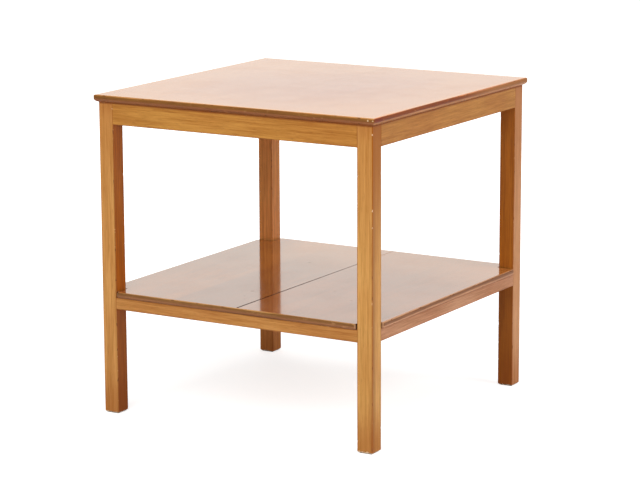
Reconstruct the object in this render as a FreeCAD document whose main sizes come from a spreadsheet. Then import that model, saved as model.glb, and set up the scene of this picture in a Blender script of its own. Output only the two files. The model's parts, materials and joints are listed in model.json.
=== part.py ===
import FreeCAD, Part
import math
import os
import Sketcher

# A square end table with a low shelf. Four square legs, four aprons and four lower rails make the frame,
# joined by mortises and mitred tenons, with every outer face flush. The top and the shelf are each two
# boards with a lipping along every side. Buttons in a groove hold the top, screws hold the shelf.
# The origin is on the floor under the middle of the table, +X to the right, +Y to the back, +Z up.

SIZES = {  # millimetres
    # frame
    "frame_width": 586.0,  # over the legs, left to right
    "frame_depth": 586.0,  # over the legs, front to back
    "table_height": 610.0,  # floor to the face of the top
    "leg_side": 31.5,
    "leg_corner_round": 2.0,  # at the corner of the table
    "leg_edge_chamfer": 0.5,  # along a leg's three other edges
    "foot_chamfer": 3.5,
    "apron_height": 41.0,
    "apron_thick": 20.0,
    "apron_edge_round": 1.5,
    "rail_clear": 203.5,  # floor to the underside of the lower rails
    "rail_height": 23.0,
    "rail_thick": 20.0,
    "rail_edge_round": 1.2,
    # mortises and tenons
    "tenon_thick": 8.0,
    "tenon_set_in": 7.0,  # outer face of the frame to the tenon's outer cheek
    "tenon_shoulder": 3.5,  # below every tenon, and above those of the lower rails
    "haunch_height": 12.0,
    "haunch_length": 8.0,
    "tenon_play": 0.1,
    "mitre_gap": 0.35,  # what each mitred end stops short of the diagonal
    # top
    "top_thick": 14.0,
    "top_overhang": 7.0,
    "top_lip_width": 12.0,
    "top_upper_round": 3.5,
    "top_under_round": 9.0,
    "top_corner_round": 2.0,  # in plan
    "top_joint_shift": -6.0,  # middle of the table to the joint between the two boards
    # shelf
    "shelf_thick": 11.0,
    "shelf_overhang": 3.3,
    "shelf_lip_width": 5.0,
    "shelf_upper_round": 3.0,
    "shelf_under_round": 4.0,
    "shelf_nose_round": 4.2,  # in plan, where a lipping ends beside a leg
    "shelf_leg_gap": 2.5,
    "shelf_joint_shift": 7.0,  # middle of the table to the open joint between the two boards
    "shelf_joint_front": 3.4,  # how far the joint has opened at the front
    "shelf_joint_back": 1.2,  # and at the back
    # tongues of the lippings
    "tongue_thick": 3.0,
    "tongue_reach": 4.0,
    "tongue_stop": 10.0,  # what the tongue stops short of the lipping's end
    "tongue_play": 0.1,
    # buttons that hold the top down
    "button_spacing": 300.0,  # between the two at the front, and the two at the back
    "button_width": 32.0,
    "button_length": 28.0,
    "button_gap": 1.0,  # apron to the block of the button
    "button_tongue_thick": 5.0,
    "button_tongue_reach": 4.5,
    "button_chamfer": 2.0,
    "groove_drop": 8.0,  # underside of the top to the groove
    "groove_depth": 5.0,
    "groove_play": 0.5,
    # screws
    "screw_shank": 3.5,  # diameter
    "screw_head": 7.0,  # diameter
    "screw_head_height": 2.4,
    "screw_slot_width": 0.9,
    "screw_slot_depth": 1.0,
    "screw_play": 0.05,
    "button_screw_bite": 9.0,  # into the top
    "shelf_screw_bite": 8.0,  # into the shelf
    "shelf_screw_spacing": 300.0,  # between the two at the front, and the two at the back
    "screw_well_depth": 7.0,  # under the rail, for the head
    "screw_well_bore": 9.0,  # diameter
}

SIDES = ("front", "right", "back", "left")  # each a quarter turn on from the one before
CORNERS = ("front_left", "front_right", "back_right", "back_left")
BOARD_ENDS = {"front": ("left", "right"), "back": ("right", "left")}  # sides where the boards' grain ends
BOARD_EDGES = ("right", "left")
QUARTER = 90.0
UP = FreeCAD.Vector(0, 0, 1)
TOUCH = 1e-4  # places nearer than this are the same
HALF_CORNER = 1 - math.sqrt(0.5)  # from a corner to the middle of its round stretch, for a radius of 1
LEAST_FLAT = 0.3  # wall left flat beside a round edge


class Size:
    """A length in millimetres together with the formula on the sheet that it comes from."""

    def __init__(self, value, formula=None):
        self.value = value
        self.formula = formula if formula else repr(value)

    def __add__(self, other):
        other = as_size(other)
        return Size(self.value + other.value, f"({self.formula} + {other.formula})")

    def __sub__(self, other):
        other = as_size(other)
        return Size(self.value - other.value, f"({self.formula} - {other.formula})")

    def __mul__(self, factor):
        return Size(self.value * factor, f"({self.formula} * {factor!r})")

    def __truediv__(self, divisor):
        return Size(self.value / divisor, f"({self.formula} / {divisor!r})")

    def __neg__(self):
        return Size(-self.value, f"(-{self.formula})")


ZERO = Size(0.0)


def as_size(length):
    return length if isinstance(length, Size) else Size(length)


def least(*lengths):
    """The smallest of several lengths."""
    formulas = "; ".join(length.formula for length in lengths)
    return Size(min(length.value for length in lengths), f"min({formulas})")


class Sheet:
    """The spreadsheet of driving dimensions; sheet.leg_side is that cell as a Size."""

    def __init__(self, document, sizes):
        cells = document.addObject("Spreadsheet::Sheet", "Sizes")
        for row, (name, value) in enumerate(sizes.items(), start=1):
            cells.set(f"A{row}", name)
            cells.set(f"B{row}", str(value))
            cells.setAlias(f"B{row}", name)
            setattr(self, name, Size(value, f"Sizes.{name}"))


doc = FreeCAD.newDocument("end_table")
size = Sheet(doc, SIZES)
doc.recompute()
finished = []

leg_height = size.table_height - size.top_thick
apron_foot = leg_height - size.apron_height
shelf_foot = size.rail_clear + size.rail_height
button_height = size.groove_drop + size.button_tongue_thick
button_reach = size.button_gap + size.button_length / 2  # apron to the button's screw
screw_hole = size.screw_shank + size.screw_play * 2


# ---------------------------------------------------------------- drawing and features


def new_body(label):
    body = doc.addObject("PartDesign::Body", label)
    body.Label = label
    return body


def new_sketch(body, name, role="XY_Plane", lift=None):
    """A sketch on one of the body's own origin planes, lifted off it by a length."""
    plane = next(feature for feature in body.Origin.OriginFeatures if feature.Role == role)
    sketch = body.newObject("Sketcher::SketchObject", name)
    sketch.AttachmentSupport = [(plane, "")]
    sketch.MapMode = "FlatFace"
    if lift is not None:
        sketch.setExpression("AttachmentOffset.Base.z", lift.formula)
    return sketch


def bind(sketch, constraint, formula):
    number = sketch.addConstraint(constraint)
    name = f"bound_{number}"
    sketch.renameConstraint(number, name)
    sketch.setExpression(f"Constraints.{name}", formula)


def place_point(sketch, edge, point, across, along):
    """Ties a point of an edge to its distances from the sketch's origin."""
    for kind, distance, axis in (("DistanceX", across, -2), ("DistanceY", along, -1)):
        if distance.value == 0:
            sketch.addConstraint(Sketcher.Constraint("PointOnObject", edge, point, axis))
        else:
            bind(sketch, Sketcher.Constraint(kind, -1, 1, edge, point, distance.value), distance.formula)


def round_stretch(start, end, radius):
    """An arc from start to end that bulges to the right of the way, so it rounds off a corner."""
    half = (end - start) / 2
    inwards = FreeCAD.Vector(-half.y, half.x, 0).normalize()
    centre = start + half + inwards * math.sqrt(max(radius**2 - half.Length**2, 0))
    first = math.atan2(start.y - centre.y, start.x - centre.x)
    last = math.atan2(end.y - centre.y, end.x - centre.x)
    return Part.ArcOfCircle(Part.Circle(centre, UP, radius), first, last)


def outline(sketch, corners):
    """Draws a closed outline. A corner is (across, along), or (across, along, radius) where a round stretch
    leads from it to the next corner."""
    corners = [tuple(as_size(length) for length in corner) for corner in corners]
    spots = [FreeCAD.Vector(corner[0].value, corner[1].value, 0) for corner in corners]
    first = sketch.GeometryCount
    for number, corner in enumerate(corners):
        start, end = spots[number], spots[(number + 1) % len(spots)]
        if len(corner) == 3:
            edge = sketch.addGeometry(round_stretch(start, end, corner[2].value))
            bind(sketch, Sketcher.Constraint("Radius", edge, corner[2].value), corner[2].formula)
        else:
            edge = sketch.addGeometry(Part.LineSegment(start, end))
        place_point(sketch, edge, 1, corner[0], corner[1])
    for number in range(len(corners)):
        following = first + (number + 1) % len(corners)
        sketch.addConstraint(Sketcher.Constraint("Coincident", first + number, 2, following, 1))


def rectangle(sketch, left, right, near, far):
    outline(sketch, [(left, near), (right, near), (right, far), (left, far)])


def circle(sketch, across, along, diameter):
    centre = FreeCAD.Vector(across.value, along.value, 0)
    edge = sketch.addGeometry(Part.Circle(centre, UP, diameter.value / 2))
    bind(sketch, Sketcher.Constraint("Diameter", edge, diameter.value), diameter.formula)
    place_point(sketch, edge, 3, across, along)


def pad(body, name, sketch, length, side_type="One side"):
    feature = body.newObject("PartDesign::Pad", name)
    feature.Profile = sketch
    feature.SideType = side_type
    feature.setExpression("Length", length.formula)
    sketch.Visibility = False
    doc.recompute()
    return feature


def removes_wood(body, feature):
    """Checks that a cut has taken something off the body."""
    before = feature.BaseFeature.Shape.Volume
    doc.recompute()
    if feature.Shape.Volume > before - TOUCH:
        raise RuntimeError(f"{feature.Name} of {body.Label} cuts nothing")
    return feature


def pocket(body, name, sketch, depth, upwards=False):
    """Cuts the sketch into the body, downwards unless told otherwise."""
    feature = body.newObject("PartDesign::Pocket", name)
    feature.Profile = sketch
    feature.Reversed = upwards
    feature.setExpression("Length", depth.formula)
    sketch.Visibility = False
    return removes_wood(body, feature)


def drill_from_below(body, name, places, bore, depth=None, well=None):
    """Bores upwards at each place, right through unless a depth is given. well is the (diameter, depth) of
    a wider mouth that takes a screw's head."""
    sketch = new_sketch(body, f"{name}_places")
    for across, along in places:
        circle(sketch, across, along, bore)
    doc.recompute()
    hole = body.newObject("PartDesign::Hole", name)
    hole.Profile = sketch
    hole.Reversed = True
    hole.ThreadType = "None"
    hole.DrillPoint = "Flat"
    hole.setExpression("Diameter", bore.formula)
    if depth is None:
        hole.DepthType = "ThroughAll"
    else:
        hole.DepthType = "Dimension"
        hole.setExpression("Depth", depth.formula)
    if well is not None:
        hole.HoleCutType = "Counterbore"
        hole.HoleCutCustomValues = True
        hole.setExpression("HoleCutDiameter", well[0].formula)
        hole.setExpression("HoleCutDepth", well[1].formula)
    sketch.Visibility = False
    return removes_wood(body, hole)


def dress(body, kind, name, property_name, length, chosen):
    """Rounds or chamfers the edges of the body's last feature that chosen(edge) picks."""
    base = body.Tip
    names = [f"Edge{number}" for number, edge in enumerate(base.Shape.Edges, start=1) if chosen(edge)]
    feature = body.newObject(f"PartDesign::{kind}", name)
    feature.Base = (base, names)
    feature.setExpression(property_name, length.formula)
    return removes_wood(body, feature)


def round_edges(body, name, radius, chosen):
    return dress(body, "Fillet", name, "Radius", radius, chosen)


def chamfer_edges(body, name, width, chosen):
    return dress(body, "Chamfer", name, "Size", width, chosen)


def level(edge, height):
    """Whether an edge lies flat at a height."""
    return abs(edge.BoundBox.ZMin - height.value) < TOUCH and abs(edge.BoundBox.ZMax - height.value) < TOUCH


def upright_at(edge, across, along):
    """Whether an edge stands upright at a place in plan."""
    middle = edge.CenterOfMass
    box = edge.BoundBox
    flat = box.XLength < TOUCH and box.YLength < TOUCH
    return flat and abs(middle.x - across.value) < TOUCH and abs(middle.y - along.value) < TOUCH


# ---------------------------------------------------------------- places


def run_of(side):
    """The frame's length along a side."""
    return size.frame_width if side in ("front", "back") else size.frame_depth


def reach_of(side):
    """How far a side's outer face lies from the middle of the table."""
    return (size.frame_depth if side in ("front", "back") else size.frame_width) / 2


def on_side(side, along, reach):
    """The plan place of a point that lies along a side, and reach out from the middle of the table."""
    places = {
        "front": (along, -reach),
        "right": (reach, along),
        "back": (-along, reach),
        "left": (-reach, -along),
    }
    return places[side]


def put(part, quarter_turns, across, along, height):
    """Turns a piece about +Z, places it by formulas, and counts it as finished."""
    part.Placement = FreeCAD.Placement(FreeCAD.Vector(), FreeCAD.Rotation(UP, QUARTER * quarter_turns))
    for axis, distance in (("x", across), ("y", along), ("z", height)):
        part.setExpression(f"Placement.Base.{axis}", as_size(distance).formula)
    finished.append(part)


def put_on_side(part, side, reach, height):
    across, along = on_side(side, ZERO, reach)
    put(part, SIDES.index(side), across, along, height)


def at_board_ends(spacing, inset):
    """Two places at the front and two at the back, spacing apart and inset from the frame's outer face, each
    with its name and its side."""
    found = []
    for side, ends in BOARD_ENDS.items():
        for end, along in zip(ends, (-spacing / 2, spacing / 2)):
            found.append((f"{side}_{end}", side, on_side(side, along, reach_of(side) - inset)))
    return found


def at_board_edges(inset):
    """The middle of the right side and of the left, inset from the frame's outer face."""
    return [(side, side, on_side(side, ZERO, reach_of(side) - inset)) for side in BOARD_EDGES]


# ---------------------------------------------------------------- legs


def leg(corner):
    """A square leg. Its own origin is its corner at the table's corner, and the rails come in from its +X
    and +Y."""
    body = new_body(f"leg_{corner}")
    side = size.leg_side
    plan = new_sketch(body, f"{corner}_leg_plan")
    rectangle(plan, 0, side, 0, side)
    pad(body, f"{corner}_leg_length", plan, leg_height)
    chamfer_edges(body, f"{corner}_foot", size.foot_chamfer, lambda edge: level(edge, ZERO))

    others = ((side, ZERO), (side, side), (ZERO, side))
    chamfer_edges(
        body,
        f"{corner}_eased_edges",
        size.leg_edge_chamfer,
        lambda edge: any(upright_at(edge, *spot) for spot in others),
    )
    round_edges(
        body,
        f"{corner}_corner_round",
        size.leg_corner_round,
        lambda edge: upright_at(edge, ZERO, ZERO),
    )

    near = size.tenon_set_in - size.tenon_play
    far = size.tenon_set_in + size.tenon_thick + size.tenon_play
    rail_top = size.rail_clear + size.rail_height
    mortises = (
        ("apron", leg_height - size.haunch_height, apron_foot + size.tenon_shoulder),
        ("rail", rail_top - size.tenon_shoulder, size.rail_clear + size.tenon_shoulder),
    )
    for name, ceiling, floor in mortises:
        plan = new_sketch(body, f"{corner}_{name}_mortise_plan", lift=ceiling + size.tenon_play)
        outline(plan, [(near, near), (side, near), (side, far), (far, far), (far, side), (near, side)])
        pocket(body, f"{corner}_{name}_mortise", plan, ceiling - floor + size.tenon_play * 2)

    sockets = new_sketch(body, f"{corner}_haunch_plan", lift=leg_height)
    inner = side - size.haunch_length - size.tenon_play
    rectangle(sockets, inner, side, near, far)
    rectangle(sockets, near, far, inner, side)
    pocket(body, f"{corner}_haunch_sockets", sockets, size.haunch_height)
    return body


# ---------------------------------------------------------------- aprons and lower rails


def tenoned_bar(label, side, height, thick, tenon_top, edge_round):
    """A bar between two legs with a mitred tenon at each end. Its outer face lies along y = 0 and its
    underside at z = 0."""
    body = new_body(label)
    shoulder = run_of(side) / 2 - size.leg_side
    plan = new_sketch(body, f"{label}_plan")
    rectangle(plan, -shoulder, shoulder, 0, thick)
    pad(body, f"{label}_bar", plan, height)
    round_edges(
        body,
        f"{label}_lower_edges",
        edge_round,
        lambda edge: level(edge, ZERO) and edge.BoundBox.XLength > shoulder.value,
    )

    outer = size.tenon_set_in
    inner = size.tenon_set_in + size.tenon_thick
    tip = run_of(side) / 2 - size.mitre_gap
    tenons = new_sketch(body, f"{label}_tenon_plan", lift=size.tenon_shoulder)
    outline(tenons, [(shoulder, outer), (tip - outer, outer), (tip - inner, inner), (shoulder, inner)])
    outline(tenons, [(-shoulder, inner), (inner - tip, inner), (outer - tip, outer), (-shoulder, outer)])
    pad(body, f"{label}_tenons", tenons, tenon_top - size.tenon_shoulder)
    return body


def apron(side):
    """An apron: haunched tenons, and a groove inside for the buttons' tongues."""
    label = f"apron_{side}"
    body = tenoned_bar(
        label,
        side,
        size.apron_height,
        size.apron_thick,
        size.apron_height - size.haunch_height,
        size.apron_edge_round,
    )
    shoulder = run_of(side) / 2 - size.leg_side
    outer = size.tenon_set_in
    inner = size.tenon_set_in + size.tenon_thick
    haunches = new_sketch(body, f"{label}_haunch_plan", lift=size.apron_height - size.haunch_height)
    end = shoulder + size.haunch_length
    for near, far in ((shoulder, end), (-end, -shoulder)):
        rectangle(haunches, near, far, outer, inner)
    pad(body, f"{label}_haunches", haunches, size.haunch_height)

    groove = new_sketch(body, f"{label}_groove_plan", lift=size.apron_height - size.groove_drop)
    rectangle(groove, -shoulder, shoulder, size.apron_thick - size.groove_depth, size.apron_thick)
    pocket(body, f"{label}_groove", groove, size.button_tongue_thick + size.groove_play)
    put_on_side(body, side, reach_of(side), apron_foot)


def lower_rail(side):
    """A lower rail. Those under the boards' ends have a hole and a well for each screw of the shelf."""
    label = f"rail_{side}"
    body = tenoned_bar(
        label,
        side,
        size.rail_height,
        size.rail_thick,
        size.rail_height - size.tenon_shoulder,
        size.rail_edge_round,
    )
    if side in BOARD_ENDS:
        middle = size.rail_thick / 2
        places = [(-size.shelf_screw_spacing / 2, middle), (size.shelf_screw_spacing / 2, middle)]
        well = (size.screw_well_bore, size.screw_well_depth)
        drill_from_below(body, f"{label}_screw_holes", places, screw_hole, well=well)
    put_on_side(body, side, reach_of(side), size.rail_clear)


# ---------------------------------------------------------------- panels: the top and the shelf


def groove_for_tongues(body, name, half_runs, half_reaches, thick):
    """Cuts the grooves for the tongues of all four lippings. half_runs and half_reaches give, along x and
    along y, half a lipping's length and the distance from the middle to the boards' edges."""
    sketch = new_sketch(body, f"{name}_plan", lift=(thick + size.tongue_thick) / 2 + size.tongue_play)
    cut = size.tongue_reach + size.tongue_play
    ends = [run - size.tongue_stop + size.tongue_play for run in half_runs]
    for near, far in ((-half_reaches[1], cut - half_reaches[1]), (half_reaches[1] - cut, half_reaches[1])):
        rectangle(sketch, -ends[0], ends[0], near, far)
    for near, far in ((-half_reaches[0], cut - half_reaches[0]), (half_reaches[0] - cut, half_reaches[0])):
        rectangle(sketch, near, far, -ends[1], ends[1])
    pocket(body, name, sketch, size.tongue_thick + size.tongue_play * 2)


def drill_board(body, name, places, hand, joint, depth):
    """Bores the screw holes that lie on this board's side of the joint."""
    mine = [place for _, _, place in places if (place[0].value > joint.value) == (hand > 0)]
    drill_from_below(body, name, mine, screw_hole, depth=depth)


def add_tongue(body, label, half_run, lip_width, thick):
    sketch = new_sketch(body, f"{label}_tongue_plan", lift=(thick - size.tongue_thick) / 2)
    reach = half_run - size.tongue_stop
    rectangle(sketch, -reach, reach, lip_width, lip_width + size.tongue_reach)
    pad(body, f"{label}_tongue", sketch, size.tongue_thick)


def round_nose(body, label, thick, upper, under, depth):
    """Rounds the outer edges of a lipping, above and below."""
    rounds = (("upper", upper, thick), ("under", under, ZERO))
    for name, radius, height in rounds:
        round_edges(
            body,
            f"{label}_{name}_round",
            radius,
            lambda edge: level(edge, height) and edge.CenterOfMass.y < depth.value,
        )


top_half_width = size.frame_width / 2 + size.top_overhang
top_half_depth = size.frame_depth / 2 + size.top_overhang
top_board_edges = (top_half_width - size.top_lip_width, top_half_depth - size.top_lip_width)


def button_places(inset):
    """Two buttons hold the boards' ends at the front and at the back, and one holds each long edge."""
    return at_board_ends(size.button_spacing, inset) + at_board_edges(inset)


button_screw_places = button_places(size.apron_thick + button_reach)


def top_board(name, hand):
    """One of the two boards of the top; they meet in a glued joint."""
    body = new_body(f"top_board_{name}")
    edge_x, edge_y = top_board_edges
    joint = size.top_joint_shift
    plan = new_sketch(body, f"top_{name}_plan")
    left, right = (joint, edge_x) if hand > 0 else (-edge_x, joint)
    rectangle(plan, left, right, -edge_y, edge_y)
    pad(body, f"top_{name}_board", plan, size.top_thick)
    groove_for_tongues(body, f"top_{name}_grooves", top_board_edges, top_board_edges, size.top_thick)
    drill_board(body, f"top_{name}_screw_holes", button_screw_places, hand, joint, size.button_screw_bite)
    put(body, 0, 0, 0, leg_height)


def top_lipping(side):
    """A lipping of the top, mitred into its neighbours. Its outer edge is y = 0. The edge is moulded along
    its whole length, and the corners of the top are eased after that."""
    label = f"top_lipping_{side}"
    body = new_body(label)
    corner = run_of(side) / 2 + size.top_overhang
    width = size.top_lip_width
    plan = new_sketch(body, f"{label}_plan")
    outline(plan, [(-corner, 0), (corner, 0), (corner - width, width), (width - corner, width)])
    pad(body, f"{label}_strip", plan, size.top_thick)
    upper = least(size.top_upper_round, width - LEAST_FLAT)
    under = least(size.top_under_round, width - LEAST_FLAT)
    round_nose(body, label, size.top_thick, upper, under, as_size(TOUCH))
    bend = size.top_corner_round
    mitre = bend * HALF_CORNER
    corners = new_sketch(body, f"{label}_corners")
    outline(corners, [(corner - bend, 0, bend), (corner - mitre, mitre), (corner, 0)])
    outline(corners, [(mitre - corner, mitre, bend), (bend - corner, 0), (-corner, 0)])
    pocket(body, f"{label}_eased_corners", corners, size.top_thick, upwards=True)
    add_tongue(body, label, corner - width, width, size.top_thick)
    put_on_side(body, side, reach_of(side) + size.top_overhang, leg_height)


shelf_half_width = size.frame_width / 2 + size.shelf_overhang
shelf_half_depth = size.frame_depth / 2 + size.shelf_overhang
shelf_board_edges = (shelf_half_width - size.shelf_lip_width, shelf_half_depth - size.shelf_lip_width)
shelf_notch = size.leg_side + size.shelf_leg_gap  # outer face of the frame to the side of a notch
shelf_half_runs = (size.frame_width / 2 - shelf_notch, size.frame_depth / 2 - shelf_notch)
shelf_screw_places = at_board_ends(size.shelf_screw_spacing, size.rail_thick / 2)


def shelf_board(name, hand):
    """One of the two boards of the shelf, notched round two legs. The joint between them has opened, more
    at the front than at the back."""
    body = new_body(f"shelf_board_{name}")
    edge_x, edge_y = (length * hand for length in shelf_board_edges)
    notch_x, notch_y = (length * hand for length in shelf_half_runs)
    near = size.shelf_joint_shift + size.shelf_joint_front / 2 * hand
    far = size.shelf_joint_shift + size.shelf_joint_back / 2 * hand
    front, back = (near, far) if hand < 0 else (far, near)
    plan = new_sketch(body, f"shelf_{name}_plan")
    outline(
        plan,
        [
            (back, -edge_y),
            (notch_x, -edge_y),
            (notch_x, -notch_y),
            (edge_x, -notch_y),
            (edge_x, notch_y),
            (notch_x, notch_y),
            (notch_x, edge_y),
            (front, edge_y),
        ],
    )
    pad(body, f"shelf_{name}_board", plan, size.shelf_thick)
    groove_for_tongues(body, f"shelf_{name}_grooves", shelf_half_runs, shelf_board_edges, size.shelf_thick)
    joint = size.shelf_joint_shift
    drill_board(body, f"shelf_{name}_screw_holes", shelf_screw_places, hand, joint, size.shelf_screw_bite)
    put(body, 0, 0, 0, shelf_foot)


def shelf_lipping(side):
    """A lipping of the shelf. It ends beside two legs in a nose that is rounded in plan too."""
    label = f"shelf_lipping_{side}"
    body = new_body(label)
    half_run = run_of(side) / 2 - shelf_notch
    width = size.shelf_lip_width
    plan = new_sketch(body, f"{label}_plan")
    rectangle(plan, -half_run, half_run, 0, width)
    pad(body, f"{label}_strip", plan, size.shelf_thick)
    nose = least(size.shelf_nose_round, width - LEAST_FLAT)
    ends = ((-half_run, ZERO), (half_run, ZERO))
    round_edges(body, f"{label}_ends", nose, lambda edge: any(upright_at(edge, *end) for end in ends))
    upper = least(size.shelf_upper_round, nose - LEAST_FLAT)
    under = least(size.shelf_under_round, nose - LEAST_FLAT)
    round_nose(body, label, size.shelf_thick, upper, under, as_size(TOUCH))
    add_tongue(body, label, half_run, width, size.shelf_thick)
    put_on_side(body, side, reach_of(side) + size.shelf_overhang, shelf_foot)


# ---------------------------------------------------------------- buttons and screws


def top_button(name, side, place):
    """A wooden button. Its tongue sits in the apron's groove and its block under the top, so that the top
    can move a little. The apron's inner face is y = 0."""
    label = f"top_button_{name}"
    body = new_body(label)
    tip = -size.button_tongue_reach
    gap = size.button_gap
    back = size.button_gap + size.button_length
    profile = new_sketch(body, f"{label}_profile", role="YZ_Plane")
    tongue = size.button_tongue_thick
    block = [(back, 0), (back, button_height), (gap, button_height)]
    outline(profile, [(tip, 0), *block, (gap, tongue), (tip, tongue)])
    pad(body, f"{label}_block", profile, size.button_width, side_type="Symmetric")
    chamfer_edges(
        body,
        f"{label}_chamfer",
        size.button_chamfer,
        lambda edge: level(edge, ZERO) and edge.BoundBox.YMin > back.value - TOUCH,
    )
    drill_from_below(body, f"{label}_hole", [(ZERO, button_reach)], screw_hole)
    put(body, SIDES.index(side), *place, leg_height - button_height)


def screw(label, grip):
    """A slotted screw with its head down and its thread left smooth. grip is its length above the head."""
    body = new_body(label)
    head = new_sketch(body, f"{label}_head_plan")
    circle(head, ZERO, ZERO, size.screw_head)
    pad(body, f"{label}_head", head, size.screw_head_height)
    shank = new_sketch(body, f"{label}_shank_plan", lift=size.screw_head_height)
    circle(shank, ZERO, ZERO, size.screw_shank)
    pad(body, f"{label}_shank", shank, grip)
    slot = new_sketch(body, f"{label}_slot_plan")
    half_width = size.screw_slot_width / 2
    rectangle(slot, -size.screw_head, size.screw_head, -half_width, half_width)
    pocket(body, f"{label}_slot", slot, size.screw_slot_depth, upwards=True)
    return body


def group_of_screws(label, grip, places, seat):
    """Copies of one screw at several places, as one group of separate solids. Each head's upper face is at
    the height of its seat."""
    original = screw(f"one_of_{label}", grip)
    copies = []
    for name, side, (across, along) in places:
        copy = doc.addObject("App::Link", f"{label}_{name}")
        copy.LinkedObject = original
        for axis, distance in (("x", across), ("y", along)):
            copy.setExpression(f"Placement.Base.{axis}", distance.formula)
        copies.append(copy)
    group = doc.addObject("Part::Compound", label)
    group.Label = label
    group.Links = copies
    put(group, 0, 0, 0, seat - size.screw_head_height)


# ---------------------------------------------------------------- the table

for quarter, corner in enumerate(CORNERS):
    to_the_right = 1 if "right" in corner else -1
    to_the_back = 1 if "back" in corner else -1
    put(leg(corner), quarter, size.frame_width / 2 * to_the_right, size.frame_depth / 2 * to_the_back, 0)

for side in SIDES:
    apron(side)
    lower_rail(side)
    top_lipping(side)
    shelf_lipping(side)

for name, hand in (("left", -1), ("right", 1)):
    top_board(name, hand)
    shelf_board(name, hand)

for name, side, place in button_places(size.apron_thick):
    top_button(name, side, place)

button_grip = button_height + size.button_screw_bite
group_of_screws("button_screws", button_grip, button_screw_places, leg_height - button_height)

shelf_grip = size.rail_height - size.screw_well_depth + size.shelf_screw_bite
group_of_screws("shelf_screws", shelf_grip, shelf_screw_places, size.rail_clear + size.screw_well_depth)
doc.recompute()

for part in doc.Objects:
    if "Invalid" in part.State or "Error" in part.State:
        raise RuntimeError(f"{part.Label} failed: {part.State}")
for part in finished:
    if part.Shape.isNull() or not part.Shape.isValid():
        raise RuntimeError(f"{part.Label} has no valid shape")

os.makedirs("parts", exist_ok=True)
for part in finished:
    part.Shape.exportStep(os.path.join("parts", f"{part.Label}.step"))
    print(f"{part.Label}: {len(part.Shape.Solids)} solids, {part.Shape.Volume / 1000:.2f} cm3")
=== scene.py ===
import json
import math
import random
from typing import NamedTuple

import bmesh
import bpy
from mathutils import Matrix, Vector

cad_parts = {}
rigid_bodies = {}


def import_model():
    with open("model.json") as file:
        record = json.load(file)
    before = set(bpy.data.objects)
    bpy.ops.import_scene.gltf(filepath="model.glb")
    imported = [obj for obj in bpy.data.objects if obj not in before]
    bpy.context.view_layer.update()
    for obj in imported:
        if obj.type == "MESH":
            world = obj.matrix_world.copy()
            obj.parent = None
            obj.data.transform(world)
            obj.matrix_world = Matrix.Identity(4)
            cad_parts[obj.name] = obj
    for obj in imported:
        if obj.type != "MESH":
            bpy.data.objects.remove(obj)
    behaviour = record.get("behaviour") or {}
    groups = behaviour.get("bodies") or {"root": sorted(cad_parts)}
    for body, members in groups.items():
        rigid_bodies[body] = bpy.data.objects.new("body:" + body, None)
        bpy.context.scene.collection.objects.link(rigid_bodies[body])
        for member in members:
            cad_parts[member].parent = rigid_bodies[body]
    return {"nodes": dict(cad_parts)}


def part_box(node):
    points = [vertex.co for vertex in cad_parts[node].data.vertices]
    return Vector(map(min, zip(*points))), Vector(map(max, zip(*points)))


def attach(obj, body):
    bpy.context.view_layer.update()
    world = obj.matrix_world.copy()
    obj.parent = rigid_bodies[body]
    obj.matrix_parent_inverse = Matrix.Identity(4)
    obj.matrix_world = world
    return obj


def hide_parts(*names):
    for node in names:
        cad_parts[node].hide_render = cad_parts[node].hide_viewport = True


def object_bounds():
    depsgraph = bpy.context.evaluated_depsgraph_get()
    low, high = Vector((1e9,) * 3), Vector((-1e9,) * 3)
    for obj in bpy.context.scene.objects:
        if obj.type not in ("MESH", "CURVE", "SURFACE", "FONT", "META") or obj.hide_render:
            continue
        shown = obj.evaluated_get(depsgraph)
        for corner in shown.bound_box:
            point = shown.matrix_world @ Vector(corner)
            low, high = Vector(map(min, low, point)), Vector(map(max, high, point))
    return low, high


# The finish of a square end table: golden straight-grained legs and rails with a satin lacquer, and a
# red-brown top and shelf with a glossy one. The pieces themselves come with the frame. Metres throughout.

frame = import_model()
cad_low, cad_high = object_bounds()
nodes = frame["nodes"]
pieces = dict(nodes)  # what is shown for each node

SIDES = ("front", "right", "back", "left")
CORNERS = ("front_left", "front_right", "back_right", "back_left")
HALF_FRAME = abs(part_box("leg_front_left")[0].x)  # middle of the table to the frame's outer faces
MM = 0.001


# ---------------------------------------------------------------- camera

CAMERA_PLACE = Vector((2.4809, -4.1236, 1.2945))
CAMERA_TURN = math.radians(30.932)  # to the left of straight ahead
CAMERA_DIP = math.radians(11.700)
CAMERA_ROLL = math.radians(-0.226)
CAMERA_LENS = 144.0
SENSOR_WIDTH = 36.0


def place_camera():
    """A long lens, above the table and to the right of its front."""
    data = bpy.data.cameras.new("camera")
    data.lens = CAMERA_LENS
    data.sensor_width = SENSOR_WIDTH
    data.sensor_fit = "HORIZONTAL"
    camera = bpy.data.objects.new("camera", data)
    turn = Matrix.Rotation(CAMERA_TURN, 4, "Z")
    dip = Matrix.Rotation(math.pi / 2 - CAMERA_DIP, 4, "X")
    roll = Matrix.Rotation(CAMERA_ROLL, 4, "Z")
    camera.matrix_world = Matrix.Translation(CAMERA_PLACE) @ turn @ dip @ roll
    bpy.context.scene.collection.objects.link(camera)
    bpy.context.scene.camera = camera


# ---------------------------------------------------------------- material formulas


def paint(red, green, blue):
    """A colour as a screen shows it, 0 to 255, made the linear colour that a node takes."""

    def linear(level):
        share = level / 255
        return share / 12.92 if share <= 0.04045 else ((share + 0.055) / 1.055) ** 2.4

    return (linear(red), linear(green), linear(blue), 1.0)


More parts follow.
